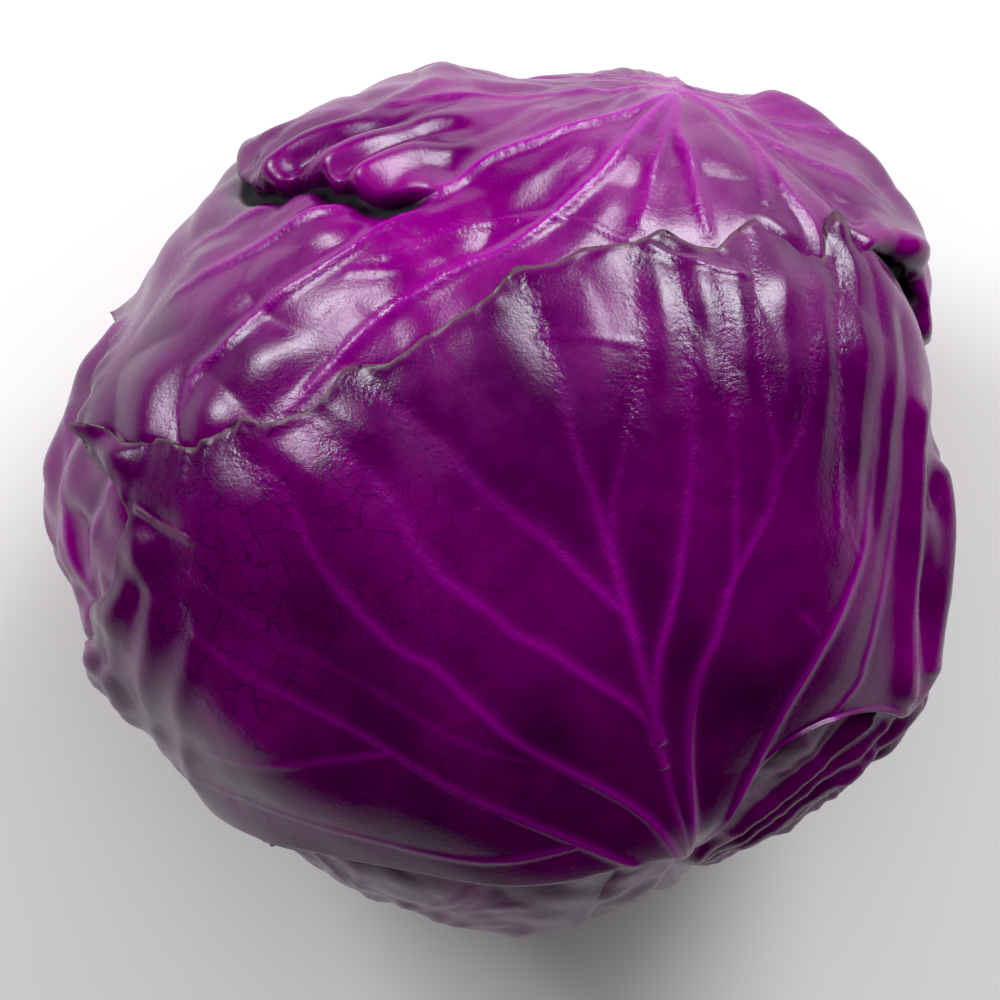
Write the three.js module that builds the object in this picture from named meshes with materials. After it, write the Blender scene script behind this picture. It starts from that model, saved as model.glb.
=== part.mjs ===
// A red cabbage head standing on its cut stem: a heart of tightly packed leaves,
// eight loose outer leaves wrapped round it, and the trimmed stem they grow from.
//
// Every leaf is drawn on one chart of the head, as a map of the globe is drawn from its
// pole. A chart point [east, north] lies that many degrees of arc from the crown, so
// [0, 0] is the crown, a length of 90 is the widest girth, and a length of 180 would be
// the middle of the stem. Leaves are shells at their own height over the heart.
import * as THREE from "three";

// Driving dimensions, in millimetres
const GIRTH_HEIGHT = 58; // height of the widest girth over the cut stem
const HEART_ABOVE = 56; // heart's crown over the girth
const HEART_BELOW = 47; // heart's underside below the girth
const ROUNDNESS = 2.2; // superellipse exponent of the heart's profile; 2 is a plain ellipse
const LEAF_THICKNESS = 0.9;
const LEAF_GAP = 0.9; // clear space under each leaf
const STEM_RADIUS = 13;
const STEM_FLARE = 1.4; // how much wider the stem is where the leaves join it
const STEM_BEVEL = 1.2;
const STEM_HEIGHT = 10.4;

// Plan radius of the heart at the girth, every 30 degrees anticlockwise from east
const HEART_RADII = [63.5, 71, 68, 62.5, 62.5, 61.5, 66.5, 58.8, 61, 64.8, 58.2, 65];

// Mesh steps: round a leaf's margin, from its middle to the margin, and on the heart
const WIDE_LEAF = { around: 56, rings: 13 };
const SIDE_LEAF = { around: 34, rings: 9 };
const HEART_STEPS = { around: 36, down: 22 };
const STEM_STEPS = 24;

const LEAF_PURPLE = { color: 0x5a0a58, roughness: 0.35, metalness: 0 };
const HEART_PURPLE = { color: 0x4a0848, roughness: 0.5, metalness: 0 };
const STEM_CREAM = { color: 0xd9c6c4, roughness: 0.7, metalness: 0 };

// The outer leaves, innermost first. layer counts leaves outwards from the heart, middle is
// a chart point that sees the whole margin, and margin runs anticlockwise on the chart.
const LEAVES = [
  {
    name: "right_back_leaf",
    layer: 1,
    steps: SIDE_LEAF,
    middle: [85, 45],
    margin: [
      [157, 63], [141, 88], [115, 96], [85, 101], [57, 99], [39, 88], [34, 70], [36, 50], [41, 32],
      [48, 16], [58, 2], [73, -10], [92, -20], [113, -16], [132, 0], [149, 21], [161, 40],
    ],
  },
  {
    name: "right_leaf",
    layer: 2,
    steps: SIDE_LEAF,
    middle: [85, -8],
    margin: [
      [163, -44], [166, -12], [150, 11], [128, 32], [104, 51], [81, 55], [65, 47], [55, 32], [52, 14],
      [52, -5], [54, -22], [59, -41], [67, -60], [79, -76], [100, -84], [123, -83], [149, -73],
    ],
  },
  {
    name: "left_back_leaf",
    layer: 2,
    steps: SIDE_LEAF,
    middle: [-60, 80],
    margin: [
      [-104, 133], [-123, 111], [-121, 88], [-117, 62], [-108, 35], [-94, 20], [-76, 19], [-57, 25],
      [-40, 33], [-24, 44], [-10, 57], [3, 74], [13, 93], [12, 113], [-5, 132], [-36, 146], [-78, 147],
    ],
  },
  {
    name: "front_leaf",
    layer: 2,
    steps: SIDE_LEAF,
    middle: [-25, -90],
    margin: [
      [-35, -165], [-6, -166], [16, -149], [32, -128], [43, -106], [44, -86], [34, -70], [19, -59],
      [2, -52], [-17, -47], [-36, -46], [-55, -46], [-76, -48], [-93, -58], [-100, -84], [-91, -117],
      [-68, -152],
    ],
  },
  {
    name: "left_leaf",
    layer: 3,
    steps: SIDE_LEAF,
    middle: [-72, -15],
    margin: [
      [-42, -15], [-44, 5], [-50, 22], [-62, 36], [-75, 53], [-95, 59], [-117, 42], [-136, 5],
      [-144, -41], [-149, -73], [-138, -97], [-115, -119], [-91, -117], [-72, -106], [-57, -92],
      [-49, -73], [-46, -51], [-41, -32],
    ],
  },
  {
    name: "right_front_leaf",
    layer: 3,
    steps: SIDE_LEAF,
    middle: [65, -70],
    margin: [
      [120, -120], [136, -95], [131, -73], [122, -49], [109, -27], [92, -20], [70, -23], [57, -25],
      [39, -28], [28, -36], [22, -49], [17, -66], [15, -87], [23, -108], [40, -124], [65, -133],
      [93, -138],
    ],
  },
  {
    name: "back_wrapper_leaf",
    layer: 4,
    steps: WIDE_LEAF,
    middle: [0, 36],
    margin: [
      [0, 15], [20, 23], [38, 27], [43, 32], [57, 36], [66, 39], [76, 44], [84, 51], [93, 63], [95, 86],
      [90, 115], [83, 144], [63, 157], [40, 161], [10, 148], [-23, 130], [-53, 108], [-72, 86],
      [-84, 69], [-91, 52], [-91, 37], [-83, 30], [-71, 27], [-65, 22], [-64, 14], [-60, 6], [-48, 2],
      [-35, 0], [-22, 2], [-10, 8],
    ],
  },
  {
    name: "front_wrapper_leaf",
    layer: 5,
    steps: WIDE_LEAF,
    middle: [18, -24],
    margin: [
      [83, -142], [74, -110], [57, -78], [39, -57], [35, -45], [40, -33], [50, -30], [63, -32],
      [76, -33], [90, -24], [96, 0], [92, 22], [78, 30], [62, 29], [50, 30], [43, 33], [34, 35],
      [26, 30], [20, 32], [10, 30], [1, 26], [-8, 19], [-18, 15], [-24, 10], [-33, 10], [-46, 9],
      [-60, 11], [-54, 3], [-52, -4], [-57, -12], [-66, -20], [-78, -28], [-89, -41], [-84, -56],
      [-64, -62], [-40, -60], [-18, -58], [2, -57], [16, -56], [16, -74], [21, -102], [34, -132],
      [50, -155], [68, -151],
    ],
  },
];

// Closed Catmull-Rom interpolation through values spaced evenly round a full turn
function roundTheClock(values, degrees) {
  const place = (((degrees % 360) + 360) % 360) / (360 / values.length);
  const first = Math.floor(place);
  const t = place - first;
  const [a, b, c, d] = [-1, 0, 1, 2].map(
    (k) => values[(first + k + values.length) % values.length],
  );
  const slope = (c - a) / 2;
  const nextSlope = (d - b) / 2;
  const cubic = 2 * b - 2 * c + slope + nextSlope;
  const square = 3 * c - 3 * b - 2 * slope - nextSlope;
  return ((cubic * t + square) * t + slope) * t + b;
}

// The point of the heart's surface at a chart point
function heartPoint(east, north) {
  const reach = THREE.MathUtils.degToRad(Math.hypot(east, north));
  const azimuth = Math.atan2(north, east);
  const rounded = (x) => Math.sign(x) * Math.abs(x) ** (2 / ROUNDNESS);
  const radius = roundTheClock(HEART_RADII, THREE.MathUtils.radToDeg(azimuth)) * rounded(Math.sin(reach));
  const up = rounded(Math.cos(reach));
  return new THREE.Vector3(
    radius * Math.cos(azimuth),
    radius * Math.sin(azimuth),
    GIRTH_HEIGHT + up * (up > 0 ? HEART_ABOVE : HEART_BELOW),
  );
}

// A point at a height over the heart, along the heart's own outward normal
function pointOver(east, north, height) {
  const step = 0.5;
  const alongEast = heartPoint(east + step, north).sub(heartPoint(east - step, north));
  const alongNorth = heartPoint(east, north + step).sub(heartPoint(east, north - step));
  const normal = alongEast.cross(alongNorth).normalize();
  return heartPoint(east, north).addScaledVector(normal, height);
}

// A sphere whose rows are remapped: placeVertex(column share, row number) gives each position
function remappedSphere(around, down, placeVertex) {
  const geometry = new THREE.SphereGeometry(1, around, down);
  const position = geometry.getAttribute("position");
  for (let row = 0; row <= down; row++)
    for (let column = 0; column <= around; column++) {
      const p = placeVertex((column % around) / around, row);
      position.setXYZ(row * (around + 1) + column, p.x, p.y, p.z);
    }
  return geometry;
}

// A leaf is a sphere pressed flat: its upper rows are the leaf's outer face from the middle
// to the margin, and its lower rows come back along the inner face.
function leafGeometry({ layer, steps, middle, margin }) {
  const outline = new THREE.CatmullRomCurve3(
    margin.map(([east, north]) => new THREE.Vector3(east, north, 0)),
    true,
    "centripetal",
  ).getSpacedPoints(steps.around);
  const outerHeight = layer * (LEAF_THICKNESS + LEAF_GAP);
  const rows = 2 * steps.rings + 1;
  return remappedSphere(steps.around, rows, (share, row) => {
    const edge = outline[Math.round(share * steps.around)];
    const isOuter = row <= steps.rings;
    const outward = (isOuter ? row : rows - row) / steps.rings;
    return pointOver(
      THREE.MathUtils.lerp(middle[0], edge.x, outward),
      THREE.MathUtils.lerp(middle[1], edge.y, outward),
      isOuter ? outerHeight : outerHeight - LEAF_THICKNESS,
    );
  });
}

function heartGeometry() {
  const { around, down } = HEART_STEPS;
  return remappedSphere(around, down, (share, row) => {
    const azimuth = 2 * Math.PI * share;
    const reach = (180 * row) / down;
    return heartPoint(reach * Math.cos(azimuth), reach * Math.sin(azimuth));
  });
}

// The trimmed stem, a short bevelled stump with a flat cut face at height 0
function stemGeometry() {
  const profile = [
    [0, 0],
    [STEM_RADIUS - STEM_BEVEL, 0],
    [STEM_RADIUS, STEM_BEVEL],
    [STEM_RADIUS, STEM_HEIGHT * 0.5],
    [STEM_RADIUS + STEM_FLARE * 0.4, STEM_HEIGHT * 0.8],
    [STEM_RADIUS * 0.7, STEM_HEIGHT],
    [0, STEM_HEIGHT],
  ].map(([radius, height]) => new THREE.Vector2(radius, height));
  return new THREE.LatheGeometry(profile, STEM_STEPS).rotateX(Math.PI / 2);
}

function namedMesh(name, geometry, look) {
  const mesh = new THREE.Mesh(geometry, new THREE.MeshStandardMaterial(look));
  mesh.name = name;
  return mesh;
}

const head = new THREE.Group();
head.add(namedMesh("cut_stem", stemGeometry(), STEM_CREAM));
head.add(namedMesh("heart", heartGeometry(), HEART_PURPLE));
for (const leaf of LEAVES) head.add(namedMesh(leaf.name, leafGeometry(leaf), LEAF_PURPLE));

export default head;
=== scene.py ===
import math

import bpy
import numpy as np
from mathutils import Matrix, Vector


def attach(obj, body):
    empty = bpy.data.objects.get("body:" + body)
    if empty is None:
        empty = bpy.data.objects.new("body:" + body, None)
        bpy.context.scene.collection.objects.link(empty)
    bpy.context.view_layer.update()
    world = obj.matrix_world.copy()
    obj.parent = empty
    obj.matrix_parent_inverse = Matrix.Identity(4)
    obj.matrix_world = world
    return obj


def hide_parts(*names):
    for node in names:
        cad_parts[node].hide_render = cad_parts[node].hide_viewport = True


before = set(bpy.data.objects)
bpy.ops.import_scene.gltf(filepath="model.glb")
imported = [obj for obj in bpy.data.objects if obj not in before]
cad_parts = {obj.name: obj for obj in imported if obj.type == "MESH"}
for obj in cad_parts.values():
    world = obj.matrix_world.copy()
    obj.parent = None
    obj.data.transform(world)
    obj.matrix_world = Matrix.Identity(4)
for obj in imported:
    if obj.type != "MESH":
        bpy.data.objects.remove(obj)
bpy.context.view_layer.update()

# ---------------------------------------------------------------- shape of the head
# A chart point [u, v] is a place on the head: hypot(u, v) degrees of arc from the crown, in
# the direction atan2(v, u) from +X. Lengths are in millimetres until a mesh is made.
GIRTH_Z = 58.0
ABOVE = 64.0
BELOW = 54.0
ROUND = 2.0 / 2.2
# Radii of the crown every 30 degrees, and of the girth as (azimuth, radius)
UPPER_RADII = [72.5, 78.5, 74, 68.5, 69, 67.5, 71.5, 66.5, 66.5, 69, 67.5, 73]
GIRTH_RADII = [
    (0, 71.6), (9, 69.8), (20, 72.8), (30, 78), (45, 78.4), (58, 76), (75, 70.6), (89, 67),
    (96, 71), (106, 69.3), (124, 68.4), (131, 66.6), (150, 67.6), (160, 70), (170, 71.6),
    (180, 73.4), (187, 71.8), (195, 70), (204, 70.2), (214, 66), (225, 66), (240, 67),
    (255, 69.6), (270, 70.4), (280, 70), (290, 68.6), (298, 66.2), (310, 70.6), (318, 71.8),
    (328, 73.4), (338, 76.4), (345, 74),
]
GIRTH_STARTS, GIRTH_ENDS = 50, 84
SEED = 7


def smoothstep(a, b, x):
    t = np.clip((x - a) / (b - a), 0, 1)
    return t * t * (3 - 2 * t)


def hump(distance, width):
    """A soft ridge across a distance: 1 on its crest."""
    return np.exp(-((distance / width) ** 2))


def quarter_round(distance, radius):
    """0 at an edge, rising as a quarter circle to 1 at a radius from it."""
    return np.sqrt(1 - (1 - np.clip(distance / radius, 0, 1)) ** 2)


def periodic_table(angles, values, soften):
    """Values at every whole degree, softened by a moving average."""
    table = np.interp(np.arange(360), angles, values, period=360)
    kernel = np.hanning(soften + 2)[1:-1]
    padded = np.concatenate([table, table, table])
    return np.convolve(padded, kernel / kernel.sum(), "same")[360:720]


UPPER_TABLE = periodic_table(np.arange(12) * 30, UPPER_RADII, 31)
GIRTH_TABLE = periodic_table(*zip(*GIRTH_RADII), 7)


def skin(uv):
    """The head's outer skin at chart points, (n, 3)."""
    u, v = uv[:, 0], uv[:, 1]
    rho = np.radians(np.hypot(u, v))
    phi = np.arctan2(v, u)
    near_girth = smoothstep(GIRTH_STARTS, GIRTH_ENDS, np.degrees(rho))
    degrees = np.degrees(phi) % 360
    whole = np.arange(360)
    radius = (1 - near_girth) * np.interp(degrees, whole, UPPER_TABLE, period=360)
    radius += near_girth * np.interp(degrees, whole, GIRTH_TABLE, period=360)
    radius *= np.abs(np.sin(rho)) ** ROUND
    up = np.sign(np.cos(rho)) * np.abs(np.cos(rho)) ** ROUND
    z = GIRTH_Z + up * np.where(up > 0, ABOVE, BELOW)
    return np.stack([radius * np.cos(phi), radius * np.sin(phi), z], 1)


def skin_normal(uv):
    """Outward normals of the skin, from differences over a small step in degrees."""
    step = 0.6
    du, dv = np.array([step, 0]), np.array([0, step])
    n = np.cross(skin(uv + du) - skin(uv - du), skin(uv + dv) - skin(uv - dv))
    return n / np.linalg.norm(n, axis=1, keepdims=True)


def waves(p, size, seed, count=18):
    """Smooth noise of about unit strength, with bumps about size apart."""
    rng = np.random.default_rng(SEED * 1000 + seed)
    k = rng.normal(size=(count, p.shape[1]))
    k *= (2 * math.pi / size / rng.uniform(0.7, 1.5, count) / np.linalg.norm(k, axis=1))[:, None]
    return np.sin(p @ k.T + rng.uniform(0, 2 * math.pi, count)).sum(1) * math.sqrt(2 / count)


def spline(points, per_span=6):
    """A Catmull-Rom curve through points."""
    p = np.array(points, float)
    p = np.vstack([2 * p[0] - p[1], p, 2 * p[-1] - p[-2]])
    t = np.linspace(0, 1, per_span, endpoint=False)[:, None]
    spans = [
        0.5 * (2 * b + (c - a) * t + (2 * a - 5 * b + 4 * c - d) * t**2 + (3 * b - a - 3 * c + d) * t**3)
        for a, b, c, d in zip(p, p[1:], p[2:], p[3:])
    ]
    return np.vstack([*spans, p[-2:-1]])


SIDE_STEPS = 8


def resample(points, count):
    """count places along a smooth side. A third number on a point is its share of the way."""
    dense = spline([point[:2] for point in points], SIDE_STEPS)
    along = np.concatenate([[0], np.cumsum(np.linalg.norm(np.diff(dense, axis=0), axis=1))])
    pinned = [(along[i * SIDE_STEPS], point[2]) for i, point in enumerate(points) if len(point) == 3]
    pinned = pinned or [(0, 0), (along[-1], 1)]
    share = np.interp(along, *zip(*pinned))
    at = np.linspace(0, 1, count)
    return np.stack([np.interp(at, share, dense[:, i]) for i in (0, 1)], 1)


FAR = 1e3


def line_field(p, points, reach):
    """Distance in mm from each place in p to a chart curve, FAR beyond reach, and share along it."""
    line = skin(spline(points, 5))
    lo, hi = line.min(0) - reach, line.max(0) + reach
    near = np.flatnonzero(((p > lo) & (p < hi)).all(1))
    distance = np.full(len(p), FAR)
    share = np.zeros(len(p))
    if not len(near):
        return distance, share
    q = p[near]
    best = np.full(len(near), FAR**2)
    where = np.zeros(len(near))
    lengths = np.linalg.norm(np.diff(line, axis=0), axis=1)
    start = np.concatenate([[0], np.cumsum(lengths)])
    for a, b, at, length in zip(line, line[1:], start, lengths):
        if length < 1e-6:
            continue
        along = np.clip((q - a) @ (b - a) / length**2, 0, 1)
        d2 = ((q - a - along[:, None] * (b - a)) ** 2).sum(1)
        closer = d2 < best
        best = np.where(closer, d2, best)
        where = np.where(closer, (at + along * length) / start[-1], where)
    distance[near] = np.sqrt(best)
    share[near] = where
    return distance, share


def spot(uv, u, v, wide, tall, turn=0.0):
    """A soft round weight of 1 at a chart point, wide and tall in degrees."""
    c, s = math.cos(math.radians(turn)), math.sin(math.radians(turn))
    du, dv = uv[:, 0] - u, uv[:, 1] - v
    return np.exp(-(((du * c + dv * s) / wide) ** 2) - ((dv * c - du * s) / tall) ** 2)


def bumps(uv, table):
    """Sum of soft bumps: rows of height and the numbers that spot takes."""
    return sum(height * spot(uv, *place) for height, *place in table)


# ---------------------------------------------------------------- leaf patches
# A leaf's inner sheet has one vertex to this many of its outer sheet, along and across
INNER_STRIDE = 4
COARSE_ROUNDS = 150
FINE_ROUNDS = 20
EASE = 0.9


def coons(left, right, base, tip, rows, columns):
    """Chart points of a grid between four sides that share corners, (rows, columns, 2)."""
    left, right = resample(left, rows)[:, None], resample(right, rows)[:, None]
    base, tip = resample(base, columns)[None], resample(tip, columns)[None]
    s = np.linspace(0, 1, rows)[:, None, None]
    t = np.linspace(0, 1, columns)[None, :, None]
    sides = (1 - t) * left + t * right + (1 - s) * base + s * tip
    corners = (1 - s) * ((1 - t) * left[0] + t * right[0]) + s * ((1 - t) * left[-1] + t * right[-1])
    return relaxed(sides - corners, rows, columns)


def untangle(chart, rounds):
    """Let the grid lines spread evenly between the fixed sides, so that few cells fold over."""
    for _ in range(rounds):
        along = (chart[2:, 1:-1] - chart[:-2, 1:-1]) / 2
        across = (chart[1:-1, 2:] - chart[1:-1, :-2]) / 2
        a, b = (across**2).sum(-1, keepdims=True), (along**2).sum(-1, keepdims=True)
        mixed = (along * across).sum(-1, keepdims=True)
        twist = (chart[2:, 2:] - chart[2:, :-2] - chart[:-2, 2:] + chart[:-2, :-2]) / 4
        rest = a * (chart[2:, 1:-1] + chart[:-2, 1:-1]) + b * (chart[1:-1, 2:] + chart[1:-1, :-2])
        middle = (rest - 2 * mixed * twist) / (2 * (a + b) + 1e-9)
        chart[1:-1, 1:-1] += EASE * (middle - chart[1:-1, 1:-1])
    return chart


def relaxed(chart, rows, columns):
    """Untangle a coarse grid first, carry its shift over to the fine one, then finish that."""
    coarse = chart[::INNER_STRIDE, ::INNER_STRIDE]
    shift = untangle(coarse.copy(), COARSE_ROUNDS) - coarse
    for axis, fine in ((0, rows), (1, columns)):
        at = np.linspace(0, shift.shape[axis] - 1, fine)
        low = np.minimum(at.astype(int), shift.shape[axis] - 2)
        part = (at - low).reshape((-1, 1, 1) if axis == 0 else (1, -1, 1))
        shift = np.take(shift, low, axis) * (1 - part) + np.take(shift, low + 1, axis) * part
    return untangle(chart + shift, FINE_ROUNDS)


def grid_faces(rows, columns, first, flip):
    i = np.arange(rows * columns).reshape(rows, columns) + first
    quads = np.stack([i[:-1, :-1], i[:-1, 1:], i[1:, 1:], i[1:, :-1]], -1).reshape(-1, 4)
    return quads[:, ::-1] if flip else quads


def border(rows, columns):
    """Grid indices round the border, anticlockwise from the first corner."""
    i = np.arange(rows * columns).reshape(rows, columns)
    return np.concatenate([i[0, :-1], i[:-1, -1], i[-1, :0:-1], i[:0:-1, 0]])


def make_object(name, vertices, faces, material, point_values, loop_uv):
    """The piece that stands for the CAD node of the same name, with its painted values."""
    mesh = bpy.data.meshes.new(name)
    mesh.from_pydata((vertices / 1000).tolist(), [], faces)
    mesh.polygons.foreach_set("use_smooth", np.ones(len(mesh.polygons), bool))
    for key, values in point_values.items():
        mesh.attributes.new(key, "FLOAT", "POINT").data.foreach_set("value", values.astype(np.float32))
    layer = mesh.uv_layers.new(name="OFBake")
    layer.data.foreach_set("uv", loop_uv.astype(np.float32).ravel())
    mesh.materials.append(material)
    obj = bpy.data.objects.new(name, mesh)
    bpy.context.scene.collection.objects.link(obj)
    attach(obj, "root")
    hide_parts(name)


THICKNESS = 0.62
RIM_THICKNESS = 0.2
# Layout of the bake map: a margin all round, the outer sheet left and the inner sheet right
MAP_MARGIN, MAP_HEIGHT = 0.01, 0.98
OUTER_WIDTH, INNER_LEFT, INNER_WIDTH = 0.63, 0.67, 0.32


def build_leaf(name, sides, shape, material, rows, columns):
    """A leaf as a closed shell. shape(uv, p, edge) gives its height, its paint and any chart shift."""
    chart = coons(sides["left"], sides["right"], sides["base"], sides["tip"], rows, columns)
    uv = chart.reshape(-1, 2)
    p = skin(uv)
    normal = skin_normal(uv)
    grid = p.reshape(rows, columns, 3)
    edges = [grid[:, :1], grid[:, -1:], grid[-1:]]
    edge = np.min([np.linalg.norm(grid - e, axis=2) for e in edges], axis=0).ravel()
    shares = np.meshgrid(np.linspace(0, 1, rows), np.linspace(0, 1, columns), indexing="ij")
    s, t = (share.ravel() for share in shares)
    height, paint, *shift = shape(uv, p, edge)
    if shift:
        p, normal = skin(uv + shift[0]), skin_normal(uv + shift[0])
    outer = p + normal * height[:, None]

    # the inner sheet keeps below the lowest outer point near it, except at the rim
    step = INNER_STRIDE
    pick = np.arange(rows * columns).reshape(rows, columns)[::step, ::step].ravel()
    in_rows, in_columns = (rows - 1) // step + 1, (columns - 1) // step + 1
    thick = RIM_THICKNESS + (THICKNESS - RIM_THICKNESS) * smoothstep(0, 5, edge[pick])
    padded = np.pad(height.reshape(rows, columns), step, mode="edge")
    moves = (0, step, 2 * step)
    lowest = np.min([padded[i : i + rows, j : j + columns] for i in moves for j in moves], axis=0)
    free = smoothstep(0.3, 3, edge[pick])
    sheet = height[pick] * (1 - free) + lowest.ravel()[pick] * free - thick
    inner = p[pick] + normal[pick] * sheet[:, None]
    if shift:
        home = skin(uv[pick]) + skin_normal(uv[pick]) * sheet[:, None]
        inner += (home - inner) * free[:, None]

    # two sheets and the triangles that close the rim between them
    count = rows * columns
    faces = grid_faces(rows, columns, 0, False).tolist()
    faces += grid_faces(in_rows, in_columns, count, True).tolist()
    rim_start = len(faces)
    rim_out = border(rows, columns).tolist()
    rim_in = (border(in_rows, in_columns) + count).tolist()
    for j, d in enumerate(rim_in):
        run = [rim_out[(step * j + k) % len(rim_out)] for k in range(step + 1)]
        faces += [[b, a, d] for a, b in zip(run, run[1:])]
        faces.append([run[-1], d, rim_in[(j + 1) % len(rim_in)]])

    up = MAP_MARGIN + MAP_HEIGHT * s
    flat_out = np.stack([MAP_MARGIN + OUTER_WIDTH * t, up], 1)
    flat_in = np.stack([INNER_LEFT + INNER_WIDTH * t[pick], up[pick]], 1)
    shell = np.array(faces[:rim_start]).ravel()
    rim = np.array(faces[rim_start:]).ravel()
    loop_uv = np.vstack([np.vstack([flat_out, flat_in])[shell], np.vstack([flat_out, flat_out[pick]])[rim]])
    values = {k: np.concatenate([v, v[pick]]) for k, v in paint.items()}
    values["under"] = np.concatenate([np.zeros(count), np.ones(len(pick))])
    make_object(name, np.vstack([outer, inner]), faces, material, values, loop_uv)


VEIN_REACH = 7.0


def veins(p, lines, height, width, tail=0.35):
    """Raised veins: their height field, their paint mask and the distance to the nearest."""
    ridge, mask, nearest = np.zeros(len(p)), np.zeros(len(p)), np.full(len(p), FAR)
    for points, strength in lines:
        d, share = line_field(p, points, VEIN_REACH)
        fade = strength * (1 - (1 - tail) * share) * smoothstep(1.0, 0.92, share)
        w = width * (0.7 + 0.3 * fade)
        ridge = np.maximum(ridge, height * fade * hump(d, w))
        core = 0.75 * hump(d, 0.7 * w) + 0.3 * hump(d, 2.0 * w)
        mask = np.maximum(mask, fade * core)
        nearest = np.minimum(nearest, d)
    return ridge, mask, nearest


def inside(uv, outline):
    """1 where a chart point is within a closed outline of chart points."""
    u, v = uv.T
    odd = np.zeros(len(uv), bool)
    for (a, b), (c, d) in zip(outline, outline[1:] + outline[:1]):
        if b != d:
            odd ^= ((b > v) != (d > v)) & (u < (c - a) * (v - b) / (d - b) + a)
    return odd.astype(float)


def under(uv, p, sides):
    """How far a place is covered by a leaf: 0 in the open, 1 from 4 mm inside its outline."""
    loop = [q[:2] for q in sides["base"]] + [q[:2] for q in sides["right"]][1:]
    loop += [q[:2] for q in sides["tip"]][::-1][1:] + [q[:2] for q in sides["left"]][::-1][1:-1]
    distance = line_field(p, loop + loop[:1], 6.0)[0]
    return inside(uv, loop) * smoothstep(0.3, 4.0, distance)


def streaks(uv, base, seed, fine=26.0):
    """Noise drawn out along lines that leave a leaf's base."""
    du, dv = uv[:, 0] - base[0], uv[:, 1] - base[1]
    bearing = np.arctan2(dv, du)
    away = np.hypot(du, dv)
    return waves(np.stack([np.cos(bearing) * fine, np.sin(bearing) * fine, away * 0.05], 1), 3.2, seed)


def pinnate(base, tip, reach, pairs=6, open_angle=52):
    """Veins of a leaf drawn by rule: a midrib from base to tip and pairs of side veins."""
    base, tip = np.array(base, float), np.array(tip, float)
    axis = tip - base
    length = np.linalg.norm(axis)
    axis /= length
    across = np.array([-axis[1], axis[0]])
    lines = [([base, base + axis * length * 0.5 + across * 1.5, tip], 1.0)]
    for k in range(pairs):
        share = 0.16 + 0.68 * k / pairs
        for side in (-1, 1):
            a = math.radians(open_angle - 14 * share + 5 * math.sin(3.1 * k + side))
            root = base + axis * length * (share + 0.03 * side)
            out = reach * (1.1 - 0.5 * share)
            middle = root + (axis * math.cos(a) + across * side * math.sin(a)) * out * 0.5
            b = a - math.radians(16)
            end = middle + (axis * math.cos(b) + across * side * math.sin(b)) * out * 0.5
            lines.append(([root, middle, end], 0.75 - 0.3 * share))
            fork = middle + (axis * math.cos(a + 0.55) + across * side * math.sin(a + 0.55)) * out * 0.38
            lines.append(([(root + middle) / 2, middle * 0.45 + fork * 0.55 + axis, fork], 0.4))
    return lines


# ---------------------------------------------------------------- materials
def new_material(name):
    material = bpy.data.materials.new(name)
    material.use_nodes = True
    material.node_tree.nodes.clear()
    return material, material.node_tree


class Graph:
    """Short calls for building a node tree."""

    def __init__(self, tree):
        self.tree = tree

    def node(self, kind, inputs=None, **settings):
        n = self.tree.nodes.new(kind)
        for key, value in settings.items():
            setattr(n, key, value)
        for key, value in (inputs or {}).items():
            if isinstance(value, bpy.types.NodeSocket):
                self.tree.links.new(value, n.inputs[key])
            else:
                n.inputs[key].default_value = value
        return n

    def attribute(self, name):
        return self.node("ShaderNodeAttribute", attribute_name=name).outputs["Fac"]

    def math(self, operation, a, b=0.0, clamp=False):
        return self.node("ShaderNodeMath", {0: a, 1: b}, operation=operation, use_clamp=clamp).outputs[0]

    def ramp(self, value, low, high, to_low=0.0, to_high=1.0):
        n = self.node(
            "ShaderNodeMapRange",
            {"Value": value, "From Min": low, "From Max": high, "To Min": to_low, "To Max": to_high},
        )
        n.interpolation_type = "SMOOTHSTEP"
        return n.outputs[0]

    def mix(self, factor, a, b, blend="MIX"):
        n = self.node("ShaderNodeMix", data_type="RGBA", blend_type=blend)
        for i, value in ((0, factor), (6, a), (7, b)):
            if isinstance(value, bpy.types.NodeSocket):
                self.tree.links.new(value, n.inputs[i])
            else:
                n.inputs[i].default_value = (*value, 1) if isinstance(value, tuple) else value
        return n.outputs[2]

    def noise(self, vector, scale, detail=3.0, roughness=0.55):
        return self.node(
            "ShaderNodeTexNoise",
            {"Vector": vector, "Scale": scale, "Detail": detail, "Roughness": roughness},
        ).outputs["Fac"]

    def cell_walls(self, vector, scale, width):
        """1 on the walls between irregular cells, 0 inside them."""
        cells = self.node(
            "ShaderNodeTexVoronoi", {"Vector": vector, "Scale": scale}, feature="DISTANCE_TO_EDGE"
        )
        return self.ramp(cells.outputs["Distance"], 0.0, width, 1.0, 0.0)

    def bump(self, height, strength, distance, normal=None):
        inputs = {"Height": height, "Strength": strength, "Distance": distance}
        if normal is not None:
            inputs["Normal"] = normal
        return self.node("ShaderNodeBump", inputs).outputs["Normal"]


# Leaf colours, from the deepest shadow tone to the veins, and the colours laid over them
DEEP = (0.047, 0.0001, 0.040)
MAGENTA = (0.175, 0.0002, 0.135)
VEIN = (0.27, 0.001, 0.24)
PALE = (0.50, 0.24, 0.42)
DRIED = (0.075, 0.04, 0.045)
UNDERSIDE = (0.33, 0.05, 0.28)
CELL_WALL = (0.016, 0.0002, 0.02)
SMALL_CELL_WALL = (0.02, 0.0002, 0.03)
# SHADE is painted shade: the near-black colour of gaps and hollows where the tone is painted below zero
SHADE = (0.002, 0.0, 0.002)


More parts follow.
